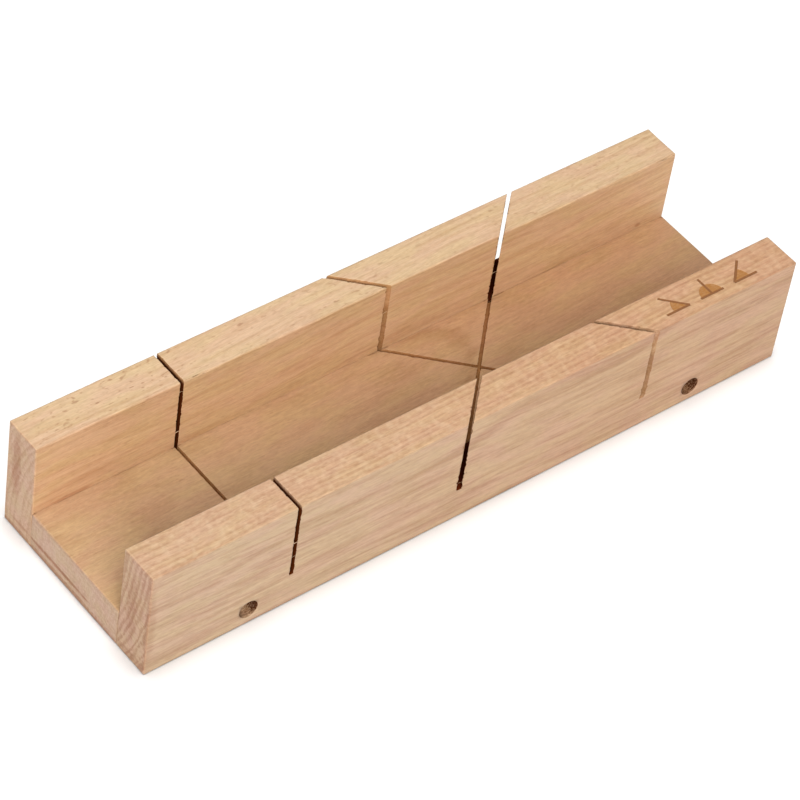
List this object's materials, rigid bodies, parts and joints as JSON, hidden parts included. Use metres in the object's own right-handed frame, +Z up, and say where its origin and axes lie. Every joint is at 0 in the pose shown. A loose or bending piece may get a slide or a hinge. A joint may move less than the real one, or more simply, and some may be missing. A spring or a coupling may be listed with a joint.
{
  "type": "mitre box",
  "caption": "Wooden mitre box: an open trough of a base board between side fences, with saw kerfs square across and at 45 degrees both ways.",
  "frame": {"origin": "middle of the underside", "axes": "+X along the trough, with the square cut near the -X end; +Y across it, from the front fence to the rear fence; +Z up"},
  "size_m": [0.3, 0.088, 0.051],
  "materials": {
    "base_beech": "planed bare steamed beech",
    "front_fence_beech": "planed bare steamed beech",
    "rear_fence_beech": "planed bare steamed beech",
    "screw_steel": "dull zinc-plated steel"
  },
  "bodies": {
    "root": {"base_board": "base_beech", "front_fence": "front_fence_beech", "rear_fence": "rear_fence_beech", "screw_front_left": "screw_steel", "screw_front_right": "screw_steel", "screw_rear_left": "screw_steel", "screw_rear_right": "screw_steel"}
  },
  "joints": []
}
